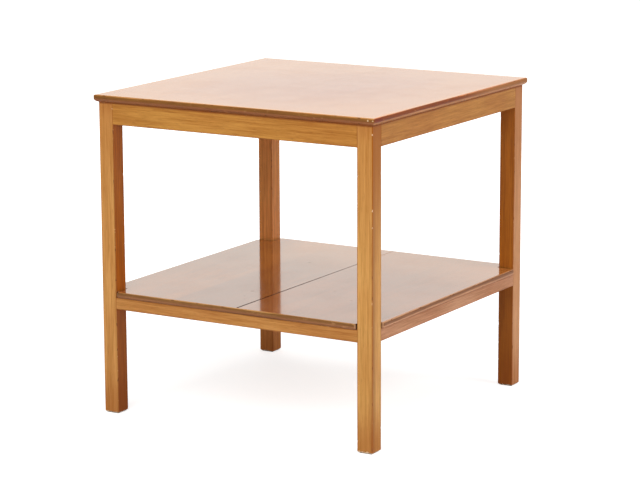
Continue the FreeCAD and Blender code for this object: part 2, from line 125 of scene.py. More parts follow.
class Wire:
    """An output in a node tree. Arithmetic on it adds Math nodes, so that a mask reads as a formula."""

    def __init__(self, tree, socket):
        self.tree = tree
        self.socket = socket

    def math(self, operation, *terms):
        return self.tree.node("ShaderNodeMath", {"operation": operation}, *terms)

    def __add__(self, other):
        return self.math("ADD", self, other)

    def __sub__(self, other):
        return self.math("SUBTRACT", self, other)

    def __rsub__(self, other):
        return self.math("SUBTRACT", other, self)

    def __mul__(self, other):
        return self.math("MULTIPLY", self, other)

    def __truediv__(self, other):
        return self.math("DIVIDE", self, other)

    def __pow__(self, other):
        return self.math("POWER", self, other)

    def __abs__(self):
        return self.math("ABSOLUTE", self)

    __radd__ = __add__
    __rmul__ = __mul__


class Tree:
    """A node tree with one way to add any node."""

    def __init__(self, tree):
        self.tree = tree
        self.tree.nodes.clear()

    def node(self, kind, settings=None, *inputs, output=0, **named):
        """Adds a node: settings first, then its inputs, by place or by name with _ for a space."""
        made = self.tree.nodes.new(kind)
        for key, value in (settings or {}).items():
            setattr(made, key, value)
        for key, value in (*enumerate(inputs), *named.items()):
            self.feed(made.inputs[key.replace("_", " ") if isinstance(key, str) else key], value)
        return Wire(self, made.outputs[output]) if made.outputs else made

    def feed(self, socket, value):
        if isinstance(value, Wire):
            self.tree.links.new(value.socket, socket)
        else:
            socket.default_value = value

    def vector(self, operation, *terms):
        return self.node("ShaderNodeVectorMath", {"operation": operation}, *terms)

    def join(self, x, y, z):
        return self.node("ShaderNodeCombineXYZ", None, x, y, z)

    def split(self, vector):
        parts = self.node("ShaderNodeSeparateXYZ", None, vector).socket.node
        return [Wire(self, part) for part in parts.outputs]

    def blend(self, share, colour, other, way="MIX"):
        """Goes from one colour to another with share from 0 to 1."""
        made = self.tree.nodes.new("ShaderNodeMix")
        made.data_type = "RGBA"
        made.blend_type = way
        for name, value in (("Factor_Float", share), ("A_Color", colour), ("B_Color", other)):
            self.feed(next(socket for socket in made.inputs if socket.identifier == name), value)
        return Wire(self, next(out for out in made.outputs if out.identifier == "Result_Color"))

    def ease(self, value, low, high):
        """0 where the value is at low, 1 where it is at high, and smooth between."""
        return self.node("ShaderNodeMapRange", {"interpolation_type": "SMOOTHSTEP"}, value, low, high)

    def noise(self, place, scale, detail=2.0, rough=0.5):
        settings = {"noise_dimensions": "3D"}
        return self.node("ShaderNodeTexNoise", settings, place, Scale=scale, Detail=detail, Roughness=rough)


class Finish(Tree):
    """A material under construction."""

    def __init__(self, name):
        self.material = bpy.data.materials.new(name)
        self.material.use_nodes = True
        super().__init__(self.material.node_tree)
        self.place = self.node("ShaderNodeTexCoord", output="Object")
        self.shader = self.tree.nodes.new("ShaderNodeBsdfPrincipled")
        self.node("ShaderNodeOutputMaterial", None, Wire(self, self.shader.outputs[0]))

    def surface(self, **values):
        for key, value in values.items():
            self.feed(self.shader.inputs[key.replace("_", " ")], value)

    def relief(self, height, strength, depth):
        """A normal that shows the height as fine relief."""
        return self.node("ShaderNodeBump", None, Height=height, Strength=strength, Distance=depth)

    def from_arris(self, low, high):
        """How far a point on a squared piece lies from its nearest edge: the middle one of its distances
        to the three pairs of faces."""
        middle, half = (low + high) / 2, (high - low) / 2
        offset = self.vector("ABSOLUTE", self.vector("SUBTRACT", self.place, middle))
        a, b, c = self.split(self.vector("SUBTRACT", half, offset))
        inner = a.math("MINIMUM", a, b).math("MAXIMUM", a.math("MINIMUM", a, b), c)
        return inner.math("MINIMUM", inner, a.math("MAXIMUM", a, b))


# ---------------------------------------------------------------- wood

SQUEEZE = {"x": 0.045, "y": 0.045, "z": 0.03}  # what lengths along the grain count for, to draw it out
AXES = "xyz"

# shared by lacquered pieces
DIRT_AND_SHADE = paint(52, 26, 12)  # old dirt and polish in a corner; also painted shade where a leg meets the shelf
WARM_SHINE = (1.0, 0.82, 0.62, 1.0)  # what yellowed lacquer makes of white light

# on the frame
FRAME_DRIFT = paint(214, 150, 92)
FRAME_PORES = paint(110, 58, 22)
EDGE_DIRT_AND_REFLECTION = paint(150, 78, 26)  # edges that are often touched; also a painted reflection in their rounding
RUBBED_BARE = paint(240, 196, 140)  # edges that have lost their lacquer
HEARTWOOD = paint(142, 76, 30)
TOWARDS_FLOOR = paint(158, 78, 20)  # darker and redder towards the floor
# painted shade high up on a leg
SHADE_HIGH_UP = paint(160, 88, 8)
# painted shade under the top's overhang
SHADE_UNDER_OVERHANG = paint(150, 70, 8)
# painted shade under the shelf
SHADE_UNDER_SHELF = paint(126, 56, 14)
BARE_FOOT = paint(248, 232, 206)  # the ragged lower end of a leg
# painted shade just under the top
SHADE_UNDER_TOP = paint(120, 56, 22)

# on the boards
# painted light towards the back of a board
PAINTED_LIGHT_AT_BACK = paint(250, 165, 70)
BOARD_PORES = paint(60, 26, 14)
PLANED_PALE = paint(186, 138, 92)  # the underside, which has no lacquer
PLANED_DEEP = paint(148, 100, 62)

# on the lippings
LIPPING_FIGURE = paint(150, 112, 84)
LIPPING_SCUFFS = paint(226, 170, 118)
PALE_REACH = paint(178, 118, 60)  # along the back half of the top's right one
DEEP_RED_NEAR_CORNER = paint(120, 20, 0)  # deeper red high on the moulding near its front corner
# a painted highlight on the rounded end of a shelf lipping
END_HIGHLIGHT = paint(206, 160, 122)

# on breaks and on steel
BREAK_DIRT = paint(92, 50, 28)
DULL_STEEL = paint(176, 172, 164)
RUST = paint(112, 84, 58)


class Grain:
    """The figure of a straight-grained board about a heart line outside it. Every part runs from 0 to 1:
    late_wood is the dark rim of each year's ring, bands and lines are stripes from broad to fine, fibres and
    pores the finest texture, streaks long and dark, and drift a slow change over the board."""

    def __init__(self, finish, along, heart, rings, shift):
        squeeze = Vector((1, 1, 1))
        squeeze[AXES.index(along)] = SQUEEZE[along]
        moved = finish.vector("ADD", finish.place, Vector(shift))
        self.lengthwise = finish.vector("MULTIPLY", moved, squeeze)
        x, y, z = finish.split(finish.place)
        across, up = {"x": (y, z), "y": (x, z), "z": (x, y)}[along]
        reach = ((across - heart[0]) ** 2 + (up - heart[1]) ** 2) ** 0.5
        sway = finish.noise(self.lengthwise, 22, 3)
        ring = reach / rings + sway * 5.0
        year = ring.math("FRACT", ring)
        self.late_wood = finish.ease(year, 0.25, 1.0) * finish.ease(year, 1.0, 0.9)
        self.bands = finish.ease(finish.noise(self.lengthwise, 210, 3, 0.6), 0.36, 0.64)
        self.lines = finish.ease(finish.noise(self.lengthwise, 560, 2, 0.6), 0.42, 0.66)
        self.fibres = finish.noise(self.lengthwise, 1100, 3, 0.65)
        self.pores = finish.ease(finish.noise(self.lengthwise, 1500, 1), 0.62, 0.74)
        self.streaks = finish.ease(finish.noise(self.lengthwise, 110, 4, 0.6), 0.32, 0.68)
        self.drift = finish.ease(finish.noise(moved, 7, 2), 0.3, 0.7)


def shade(colour, red, green, blue):
    """The colour with each of its parts scaled, as paint."""
    return paint(colour[0] * red, colour[1] * green, colour[2] * blue)


TOP_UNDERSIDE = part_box("leg_front_left")[1].z  # the legs end there
HEART_STRIPES = {  # the face it lies on, up to where it is full and to where it shows, how strong
    "leg_front_right": (0.293, -0.289, -0.279, 0.85),
}
LEG_SHADE_STRENGTHS = {  # how much painted shade high up: on the front or back face, and on the side face; then painted shade under the shelf
    "leg_front_right": (0.2, 0.85, 0.3),
    "leg_front_left": (0.3, 0.3, 0.3),
    "leg_back_right": (0.0, 0.45, 0.5),
    "leg_back_left": (0.0, 0.0, 0.0),
}


def frame_wood(name, along, heart, shift, outer, inner, shelf_level):
    """Golden wood under satin lacquer. What faces into the table is painted darker, as painted shade. There
    is painted shade under the top, high up on a leg and, on a leg, under and round the shelf."""
    finish = Finish(name)
    low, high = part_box(name)
    grain = Grain(finish, along, heart, 3.2 * MM, shift)
    x, y, z = finish.split(finish.place)
    within, flush = HALF_FRAME - 1.6 * MM, HALF_FRAME - 0.6 * MM
    sideways = finish.ease(abs(x), within, flush)
    endways = finish.ease(abs(y), within, flush)
    outwards = x.math("MAXIMUM", sideways, endways)

    tone = grain.bands * 0.45 + grain.lines * 0.3 + grain.late_wood * 0.1 + grain.fibres * 0.15
    dark = (0.87, 0.81, 0.68) if along == "z" else (0.84, 0.76, 0.60)
    outer_colour = finish.blend(tone, shade(outer, 1.05, 1.08, 1.12), shade(outer, *dark))
    # what faces into the table is painted darker: painted shade
    painted_shade_inner = finish.blend(tone, shade(inner, 1.05, 1.05, 1.05), shade(inner, 0.82, 0.76, 0.70))
    colour = finish.blend(outwards, painted_shade_inner, outer_colour)
    colour = finish.blend(grain.drift * 0.22, colour, FRAME_DRIFT, "MULTIPLY")
    colour = finish.blend(grain.pores * 0.4, colour, FRAME_PORES)

    edge = finish.from_arris(low, high)
    worn = finish.ease(edge, 2.6 * MM, 0.8 * MM)
    scuffs = finish.noise(finish.place, 90, 4, 0.7)
    is_leg = along == "z"
    # darker along the edges: handling dirt and a painted reflection in the rounded arrises
    colour = finish.blend(worn * (0.5 if is_leg else 0.45), colour, EDGE_DIRT_AND_REFLECTION)
    colour = finish.blend(worn * finish.ease(scuffs, 0.62, 0.70) * 0.6, colour, RUBBED_BARE)
    if name in HEART_STRIPES:
        side, full, end, strength = HEART_STRIPES[name]
        wavy = (grain.bands - 0.5) * 3 * MM
        stripe = finish.ease(y + wavy, end, full) * finish.ease(x, side - 1 * MM, side)
        wrapped = finish.ease(x + wavy, side - 7 * MM, side - 2 * MM) * endways
        stripe = stripe + wrapped * finish.ease(z, 0.16, 0.05) * (1 - sideways)
        colour = finish.blend(stripe * strength * 0.7, colour, HEARTWOOD)
    near_floor = finish.ease(z + scuffs * 0.03, 0.12, 0.03)
    colour = finish.blend(near_floor * 0.47, colour, TOWARDS_FLOOR)
    if is_leg:
        on_ends, on_sides, below = LEG_SHADE_STRENGTHS[name]
        # painted shade, darker towards the top of a leg
        painted_shade_high = finish.ease(z, 0.3, 0.57) * (endways * on_ends + sideways * on_sides)
        colour = finish.blend(painted_shade_high, colour, SHADE_HIGH_UP)
        # painted shade on outward faces under the top's overhang
        painted_shade_overhang = finish.ease(z, 0.56, TOP_UNDERSIDE) * outwards
        colour = finish.blend(painted_shade_overhang * 0.25, colour, SHADE_UNDER_OVERHANG)
        # painted shade on inner faces below the shelf
        shaded = finish.ease(z, shelf_level, shelf_level - 0.05) * (1 - outwards)
        colour = finish.blend(shaded * below, colour, SHADE_UNDER_SHELF)
        ragged = finish.ease(z + scuffs * 7 * MM, 6.6 * MM, 5.2 * MM)
        colour = finish.blend(ragged * 0.85, colour, BARE_FOOT)
        # darker along the bottom edge of a leg
        colour = finish.blend(finish.ease(z, 1.9 * MM, 1.0 * MM) * 0.75, colour, DIRT_AND_SHADE)
        # painted shade on a leg where it meets the shelf
        painted_shade_at_shelf = finish.ease(abs(z - shelf_level) + scuffs * 5 * MM, 9 * MM, 4 * MM) * (1 - outwards)
        colour = finish.blend(painted_shade_at_shelf * 0.7, colour, DIRT_AND_SHADE)
    # painted shade along the top of a leg or bar, under the top
    painted_shade_top = finish.ease(z + scuffs * 3 * MM, TOP_UNDERSIDE - 3 * MM, TOP_UNDERSIDE + 0.5 * MM)
    colour = finish.blend(painted_shade_top * 0.6, colour, SHADE_UNDER_TOP)

    bump = grain.fibres * 0.4 - grain.pores + scuffs * 0.5
    finish.surface(
        Base_Color=colour,
        Roughness=0.36 + grain.fibres * 0.1 + near_floor * 0.2 + worn * 0.1,
        Normal=finish.relief(bump, 0.25, 0.15 * MM),
        Specular_IOR_Level=0.25,
        Specular_Tint=WARM_SHINE,
    )
    return finish.material


def board_wood(name, shift, pale, deep, coat, coat_rough, back_light_strength, staves, marks):
    """Red-brown boards under glossy lacquer, glued up from staves, with small marks on the face, and painted
    paler towards the back as painted light. The sides are dirty and the underside was left bare."""
    finish = Finish(name)
    low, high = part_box(name)
    grain = Grain(finish, "y", (0.1, -0.4), 5.5 * MM, shift)
    x, y, z = finish.split(finish.place)
    tone = grain.streaks * 0.4 + grain.late_wood * 0.2 + grain.drift * 0.3 + grain.lines * 0.1
    if name.startswith("top"):
        reach = (x ** 2 + y ** 2) ** 0.5 + (grain.drift - 0.5) * 0.10
        tone = tone * 0.5 + finish.ease(reach, 0.34, 0.08) * 0.6
    for seam, strength in staves:
        tone = tone + finish.ease(x, seam, seam + 0.4 * MM) * strength
    colour = finish.blend(tone, paint(*pale), paint(*deep))
    # painted light, paler towards the back
    painted_light_back = finish.ease(y, 0.0, 0.25) * finish.ease(x, -0.24, -0.16)
    colour = finish.blend(painted_light_back * back_light_strength, colour, PAINTED_LIGHT_AT_BACK)
    joint = high.x if high.x < -low.x else low.x  # where it meets the other board
    glued = finish.ease(abs(x - joint), 0.7 * MM, 0.3 * MM) * (0.25 + grain.drift * 0.35)
    below = finish.ease(z, high.z - 0.03 * MM, high.z - 0.2 * MM)
    if name.startswith("shelf"):  # towards the back the open joint is at its narrowest, and clean
        closing = finish.ease(y, 0.15, 0.24) * finish.ease(abs(x - joint), 3 * MM, 2 * MM)
        glued = glued * (1 - closing)
        below = below * (1 - closing)
    colour = finish.blend(glued, colour, DIRT_AND_SHADE)
    colour = finish.blend(grain.pores * 0.45, colour, BOARD_PORES)
    spread = finish.noise(finish.place, 400, 2)
    distance = {"operation": "DISTANCE"}
    marked = 0
    for centre, size, strength in marks:
        away = finish.node("ShaderNodeVectorMath", distance, finish.place, Vector(centre), output=1)
        marked = marked + finish.ease(away + (spread - 0.5) * size * 2, size, size * 0.4) * strength
    colour = finish.blend(marked, colour, DIRT_AND_SHADE)
    under = finish.ease(z, low.z + 0.5 * MM, low.z + 0.2 * MM)
    bare = grain.late_wood * 0.5 + grain.fibres * 0.5
    planed = finish.blend(bare, PLANED_PALE, PLANED_DEEP)
    colour = finish.blend(below * 0.9, colour, DIRT_AND_SHADE)
    colour = finish.blend(under, colour, planed)
    cloudy = finish.ease(finish.noise(finish.place, 9, 3, 0.6), 0.35, 0.7)
    bump = grain.fibres * 0.3 - grain.pores * 0.6 + cloudy * 2.0
    finish.surface(
        Base_Color=colour,
        Roughness=coat_rough + 0.05 + cloudy * 0.04 + marked * 0.3 + below * 0.4,
        Coat_Weight=(coat - cloudy * 0.08) * (1 - marked) * (1 - below) * (1 - glued * 0.5),
        Coat_Roughness=coat_rough,
        Coat_IOR=1.5,
        Normal=finish.relief(bump, 0.08, 0.1 * MM),
    )
    return finish.material


def lipping_wood(name, along, shift, face, coat, rim, upper, lower, lip, waist):
    """A moulded edge under thin lacquer. Its colour goes from the face, lacquered like the boards, by the
    rim and the upper and the lower half of the moulding to the lip underneath. The rim is a painted
    highlight, the halves are painted reflections, and the lip is painted shade, except on the top's right
    lipping, where it is a painted highlight. The waist, where the halves meet, is a share of the height."""
    finish = Finish(name)
    low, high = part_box(name)
    grain = Grain(finish, along, (0.1, 0.9), 4.0 * MM, shift)
    x, y, z = finish.split(finish.place)
    level = (z - low.z) / (high.z - low.z) + (grain.streaks - 0.5) * 0.12
    # painted reflections on the two halves, painted shade or highlight along the lip, painted highlight on
    # the rim
    colour = finish.blend(finish.ease(level, waist + 0.1, waist - 0.1), paint(*upper), paint(*lower))
    colour = finish.blend(finish.ease(level, 0.14, 0.07), colour, paint(*lip))
    colour = finish.blend(finish.ease(level, 0.88, 0.97), colour, paint(*rim))
    tone = grain.bands * 0.4 + grain.lines * 0.3 + grain.late_wood * 0.3
    colour = finish.blend(tone * 0.55, colour, LIPPING_FIGURE, "MULTIPLY")
    colour = finish.blend(grain.pores * 0.4, colour, DIRT_AND_SHADE)
    scuffs = finish.ease(finish.noise(finish.place, 70, 4, 0.7), 0.60, 0.70)
    colour = finish.blend(scuffs * 0.3, colour, LIPPING_SCUFFS)
    if name == "top_lipping_right":
        above = finish.ease(level, waist - 0.1, waist + 0.1) * finish.ease(level, 0.97, 0.88)
        colour = finish.blend(above * finish.ease(y, 0.0, 0.16) * 0.6, colour, PALE_REACH)
        near_corner = finish.ease(y, -0.298, -0.29) * finish.ease(y, -0.26, -0.28)
        colour = finish.blend(above * near_corner * 0.6, colour, DEEP_RED_NEAR_CORNER)
    if name.startswith("shelf"):
        # painted highlight near the rounded end of a shelf lipping
        near_end = high[AXES.index(along)] - abs(x if along == "x" else y) + scuffs * 1 * MM
        colour = finish.blend(finish.ease(near_end, 2.6 * MM, 1.6 * MM) * 0.55, colour, END_HIGHLIGHT)
    flat = finish.ease(z, high.z - 0.25 * MM, high.z - 0.05 * MM)
    lacquered = finish.blend(tone * 0.5, paint(*face), shade(face, 0.85, 0.8, 0.75))
    colour = finish.blend(flat, colour, lacquered)
    bump = grain.fibres * 0.4 - grain.pores * 0.6 + scuffs * 0.4
    finish.surface(
        Base_Color=colour,
        Roughness=0.3 + scuffs * 0.2 - flat * 0.12,
        Coat_Weight=flat * coat,
        Coat_Roughness=0.1,
        Normal=finish.relief(bump, 0.12, 0.1 * MM),
        Specular_IOR_Level=0.2,
        Specular_Tint=WARM_SHINE,
    )
    return finish.material


def bare_wood(name, along, shift, pale, deep):
    """Planed wood with nothing on it."""
    finish = Finish(name)
    grain = Grain(finish, along, (0.1, 0.3), 2.4 * MM, shift)
    tone = grain.late_wood * 0.5 + grain.fibres * 0.5
    colour = finish.blend(tone, paint(*pale), paint(*deep))
    colour = finish.blend(grain.pores * 0.5, colour, paint(*(level * 0.6 for level in deep)))
    finish.surface(
        Base_Color=colour,
        Roughness=0.62 + grain.fibres * 0.15,
        Normal=finish.relief(grain.fibres - grain.pores, 0.4, 0.2 * MM),
        Specular_IOR_Level=0.3,
    )
    return finish.material


def broken_wood(name, pale, deep, dirty):
    """Wood laid bare where an edge was chipped, more or less darkened since by dirt and polish."""
    finish = Finish(name)
    splinters = finish.noise(finish.vector("MULTIPLY", finish.place, Vector((1, 1, 0.3))), 1600, 3, 0.7)
    dirt = finish.ease(finish.noise(finish.place, 60, 2), 0.4, 0.65)
    colour = finish.blend(splinters, paint(*pale), paint(*deep))
    colour = finish.blend(dirt * dirty, colour, BREAK_DIRT)
    finish.surface(
        Base_Color=colour,
        Roughness=0.7 + splinters * 0.2,
        Normal=finish.relief(splinters, 0.5, 0.2 * MM),
        Specular_IOR_Level=0.2,
    )
    return finish.material


def screw_steel(name):
    """Plain steel that has dulled and spotted."""
    finish = Finish(name)
    spots = finish.ease(finish.noise(finish.place, 1400, 4, 0.7), 0.52, 0.66)
    brushed = finish.noise(finish.place, 5200, 2)
    colour = finish.blend(spots * 0.6, DULL_STEEL, RUST)
    finish.surface(
        Base_Color=colour,
        Metallic=1 - spots * 0.5,
        Roughness=0.34 + spots * 0.3,
        Normal=finish.relief(brushed - spots * 0.5, 0.2, 0.05 * MM),
    )
    return finish.material


# ---------------------------------------------------------------- shapes made by Geometry Nodes


class Recipe(Tree):
    """A Geometry Nodes tree with named inputs. It starts from the points of the mesh that it is run on."""

    def __init__(self, name, **inputs):
        group = bpy.data.node_groups.new(name, "GeometryNodeTree")
        super().__init__(group)
        self.name = name
        for label, kind in {"Points": "Geometry", **inputs, "Material": "Material", "Seed": "Int"}.items():
            kind = f"NodeSocket{kind}"
            group.interface.new_socket(label.replace("_", " "), in_out="INPUT", socket_type=kind)
        group.interface.new_socket("Shape", in_out="OUTPUT", socket_type="NodeSocketGeometry")
        self.given = group.nodes.new("NodeGroupInput")

    def input(self, label):
        return Wire(self, self.given.outputs[label])

    def ramp(self, value, low, high):
        """0 below low, 1 above high, and straight between."""
        return self.node("ShaderNodeMapRange", {"interpolation_type": "LINEAR"}, value, low, high)

    def chance(self, low, high, draw):
        """A random number for each point. Each draw is another one."""
        made = self.tree.nodes.new("FunctionNodeRandomValue")
        sockets = {socket.identifier: socket for socket in made.inputs}
        self.feed(sockets["Min_001"], low)
        self.feed(sockets["Max_001"], high)
        self.feed(sockets["Seed"], self.input("Seed") + draw)
        return Wire(self, next(out for out in made.outputs if out.identifier == "Value_001"))

    def set_out(self, shape, points, turn, scale=(1.0, 1.0, 1.0)):
        """A copy of the shape on every point."""
        placing = {"Instance": shape, "Rotation": turn, "Scale": scale}
        return self.node("GeometryNodeInstanceOnPoints", None, points, **placing)

    def serve(self, geometry):
        """Ends the tree: one real mesh in the recipe's material."""
        real = self.node("GeometryNodeRealizeInstances", None, geometry)
        finished = self.node("GeometryNodeSetMaterial", None, real, Material=self.input("Material"))
        self.node("NodeGroupOutput", None, finished)

    def make(self, name, places, **values):
        """Runs the tree on these places and gives a plain mesh object."""
        mesh = bpy.data.meshes.new(name)
        mesh.from_pydata(places, [], [])
        thing = bpy.data.objects.new(name, mesh)
        bpy.context.scene.collection.objects.link(thing)
        modifier = thing.modifiers.new(self.name, "NODES")
        modifier.node_group = self.tree
        for socket in self.tree.interface.items_tree:
            label = socket.name.replace(" ", "_")
            if label in values:
                modifier[socket.identifier] = values[label]
        freeze(thing)
        return thing


def freeze(thing):
    """Puts what the modifiers make of the object into its mesh, and removes them."""
    shaped = thing.evaluated_get(bpy.context.evaluated_depsgraph_get())
    thing.data = bpy.data.meshes.new_from_object(shaped)
    thing.modifiers.clear()


def chip_recipe():
    """Rough lumps strewn along a line from the start point by the run, longer that way. Cut away from a
    piece, they leave chips."""
    recipe = Recipe("chips", Run="Vector", Count="Int", Length="Float", Depth="Float")
    run, count = recipe.input("Run"), recipe.input("Count")
    first = {"data_type": "FLOAT_VECTOR"}
    place = recipe.node("GeometryNodeInputPosition")
    start = recipe.node("GeometryNodeSampleIndex", first, recipe.input("Points"), Value=place)
    points = recipe.node("GeometryNodePoints", None, count)
    share = (recipe.node("GeometryNodeInputIndex") + recipe.chance(0.0, 1.0, 1)) / count
    reach = recipe.node("ShaderNodeVectorMath", {"operation": "SCALE"}, run, Scale=share)
    strewn = recipe.vector("ADD", start, reach)
    points = recipe.node("GeometryNodeSetPosition", None, points, Position=strewn)

    size = recipe.chance(0.4, 1.0, 2) ** 2
    across = recipe.input("Depth") * size
    along = recipe.input("Length") * size * recipe.chance(0.4, 1.0, 3)
    lump = recipe.node("GeometryNodeMeshIcoSphere", None, 1.0, 2)
    rough = recipe.node("ShaderNodeTexNoise", {"noise_dimensions": "3D"}, Scale=1.3, Detail=2.0, output=1)
    swell = recipe.vector("SUBTRACT", rough, (0.5, 0.5, 0.5))
    lump = recipe.node("GeometryNodeSetPosition", None, lump, Offset=swell)
    lie = recipe.node("FunctionNodeAlignRotationToVector", {"axis": "Z"}, Vector=run)
    tilt = recipe.join(recipe.chance(-0.2, 0.2, 4), recipe.chance(-0.2, 0.2, 5), recipe.chance(-3.0, 3.0, 6))
    turn = recipe.node("FunctionNodeEulerToRotation", None, tilt)
    lie = recipe.node("FunctionNodeRotateRotation", {"rotation_space": "LOCAL"}, lie, turn)
    recipe.serve(recipe.set_out(lump, points, lie, recipe.join(across, across, along)))
    return recipe


def screw_recipe():
    """A slotted wood screw, head down, on each point: a domed head, a plain shank, a thread and a point."""
    recipe = Recipe(
        "wood_screws",
        Shank="Float",
        Head="Float",
        Head_Height="Float",
        Length="Float",
        Slot_Width="Float",
        Slot_Depth="Float",
        Pitch="Float",
    )
    columns, rows = 24, 160
    head_share, seat_share = 0.12, 0.15  # of the rows, where the head and the step to the shank end
    thread_share, run_in, point_share = 0.42, 0.06, 0.86  # where the thread and the point start
    thread_depth, thread_curve, point_curve = 0.32, 1.5, 0.6
    sheet = recipe.node("GeometryNodeMeshGrid", None, 1.0, 1.0, columns + 1, rows + 1)
    x, y = recipe.split(recipe.node("GeometryNodeInputPosition"))[:2]
    round_about, up = x + 0.5, y + 0.5
    half_turn = recipe.ramp(up, 0.0, head_share) * (math.pi / 2)
    rise = recipe.ramp(up, seat_share, 1.0)
    height = (1 - half_turn.math("COSINE", half_turn)) * recipe.input("Head Height")
    height = height + rise * (recipe.input("Length") - recipe.input("Head Height"))
    wave = height / recipe.input("Pitch") - round_about
    crest = abs(wave.math("FRACT", wave) - 0.5) * 2
    threaded = recipe.ramp(up, thread_share, thread_share + run_in)
    narrowed = 1 - threaded * (1 - crest ** thread_curve) * thread_depth
    pointed = recipe.ramp(up, 1.0, point_share) ** point_curve
    shank = recipe.input("Shank") / 2 * narrowed * pointed
    dome = recipe.input("Head") / 2 * half_turn.math("SINE", half_turn)
    seat = recipe.ramp(up, head_share, seat_share)
    radius = dome * (1 - seat) + shank * seat
    angle = round_about * math.tau
    place = recipe.join(radius * angle.math("COSINE", angle), radius * angle.math("SINE", angle), height)
    body = recipe.node("GeometryNodeSetPosition", None, sheet, Position=place)
    body = recipe.node("GeometryNodeMergeByDistance", None, body, Distance=0.002 * MM)
    width, depth = recipe.input("Slot Width"), recipe.input("Slot Depth")
    slot = recipe.node("GeometryNodeMeshCube", None, recipe.join(width, recipe.input("Head") * 2, depth * 2))
    difference = {"operation": "DIFFERENCE", "solver": "EXACT"}
    slotted = recipe.node("GeometryNodeMeshBoolean", difference, body, slot)
    driven = recipe.join(0.0, 0.0, recipe.chance(0.0, 3.0, 1))
    turn = recipe.node("FunctionNodeEulerToRotation", None, driven)
    recipe.serve(recipe.set_out(slotted, recipe.input("Points"), turn))
    return recipe


# ---------------------------------------------------------------- worn and threaded pieces

SMOOTH_UNDER = math.radians(25)  # neighbouring faces that turn less than this are one curve
WELD = 0.001 * MM  # points nearer to each other than this are one
EASED = 0.4 * MM  # how far inside a squared piece's box its chipped edges run
LEG_ENDS = 4 * MM  # how far from a leg's ends the chips along it stop
LEG_CHIPS = (11, 7 * MM, 1.1 * MM)  # how many on an edge, and their largest reach along and across it
FOOT_CHIPS = (4, 5 * MM, 2.2 * MM)
BAR_CHIPS = (9, 7 * MM, 1.0 * MM)
TOP_LIP_CHIPS = (14, 6 * MM, 1.1 * MM)
SHELF_LIP_CHIPS = (8, 6 * MM, 0.9 * MM)
TOP_ROUNDS = (3.5 * MM, 9 * MM)  # of the moulded edge, above and below
SHELF_ROUNDS = (3 * MM, 3.9 * MM)


class Arris(NamedTuple):
    """An edge that gets chipped: its ends, its number of chips, how far the largest may reach from its own
    middle along the edge and across it, and the name of the wood that they lay bare."""

    start: Vector
    end: Vector
    chips: int
    length: float
    depth: float
    bare: str = "old_break"


def spot(x, y, z, reach=(0, 0, 0), count=1, length=5 * MM, depth=3.4 * MM):
    """Chips that lay new pale wood bare, strewn from the point on by the reach."""
    place = Vector((x, y, z))
    return Arris(place, place + Vector(reach), count, length, depth, "new_break")


FRESH_CHIPS = {
    "top_lipping_front": (spot(0.2875, -0.3, 0.6058), spot(0.2972, -0.2995, 0.6056)),
    "leg_front_right": (
        spot(0.2925, -0.2925, 0.580, length=2.4 * MM, depth=1.3 * MM),
        spot(0.2655, -0.2928, 0.0032, (0.021, 0, 0), 7, 8 * MM, 2.4 * MM),
        spot(0.2925, -0.2925, 0.39, (0, 0, 0.1), 2, 5 * MM, 1 * MM),
    ),
    "leg_front_left": (
        spot(-0.2625, -0.2928, 0.585),
        spot(-0.288, -0.2928, 0.0022, (0.02, 0, 0), 5, 6 * MM, 2.6 * MM),
    ),
    "leg_back_right": (spot(0.264, 0.2625, 0.001, (0.02, 0, 0), 3, 4 * MM),),
}


def merged_copy(name):
    """The CAD piece with its loose triangles joined into one skin, as a new object."""
    mesh = nodes[name].data.copy()
    shape = bmesh.new()
    shape.from_mesh(mesh)
    bmesh.ops.remove_doubles(shape, verts=shape.verts, dist=WELD)
    shape.to_mesh(mesh)
    shape.free()
    mesh.attributes.remove(mesh.attributes["custom_normal"])
    piece = bpy.data.objects.new(f"{name}_worn", mesh)
    bpy.context.scene.collection.objects.link(piece)
    return piece


def stand_for(piece, name):
    """The piece is shown in place of the CAD node of that name."""
    pieces[name] = piece
    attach(piece, "root")
    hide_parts(name)


def wear(name, arrises, chips):
    """Chips the edges of a wooden piece, each from its own seed."""
    strewn = bpy.data.collections.new("strewn")
    for number, arris in enumerate((*arrises, *FRESH_CHIPS.get(name, ()))):
        seed = random.Random(f"{name} {number}").randrange(1000)
        run, bare = arris.end - arris.start, bpy.data.materials[arris.bare]
        sizes = {"Run": run, "Count": arris.chips, "Length": arris.length, "Depth": arris.depth}
        lumps = chips.make("lumps", [arris.start], **sizes, Seed=seed, Material=bare)
        strewn.objects.link(lumps)
    piece = merged_copy(name)
    cut = piece.modifiers.new("cut", "BOOLEAN")
    cut.operation = "DIFFERENCE"
    cut.solver = "EXACT"
    cut.material_mode = "TRANSFER"
    cut.use_self = True
    cut.operand_type = "COLLECTION"
    cut.collection = strewn
    freeze(piece)
    for lumps in list(strewn.objects):
        bpy.data.objects.remove(lumps)
    piece.data.shade_smooth()
    piece.data.set_sharp_from_angle(angle=SMOOTH_UNDER)
    flat = piece.modifiers.new("flat faces stay flat", "WEIGHTED_NORMAL")
    flat.keep_sharp = True
    freeze(piece)
    stand_for(piece, name)


def leg_arrises(name, apron_foot):
    """A leg's four long edges and the four round its foot."""
    low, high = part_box(name)
    xs, ys = (low.x + EASED, high.x - EASED), (low.y + EASED, high.y - EASED)
    for x in xs:
        for y in ys:
            outer = min(abs(x), abs(y)) > HALF_FRAME - 2 * EASED
            top = high.z if outer else apron_foot
            yield Arris(Vector((x, y, LEG_ENDS)), Vector((x, y, top - LEG_ENDS)), *LEG_CHIPS)
    foot = low.z + 0.9 * MM
    for x in xs:
        yield Arris(Vector((x, ys[0], foot)), Vector((x, ys[1], foot)), *FOOT_CHIPS)
    for y in ys:
        yield Arris(Vector((xs[0], y, foot)), Vector((xs[1], y, foot)), *FOOT_CHIPS)


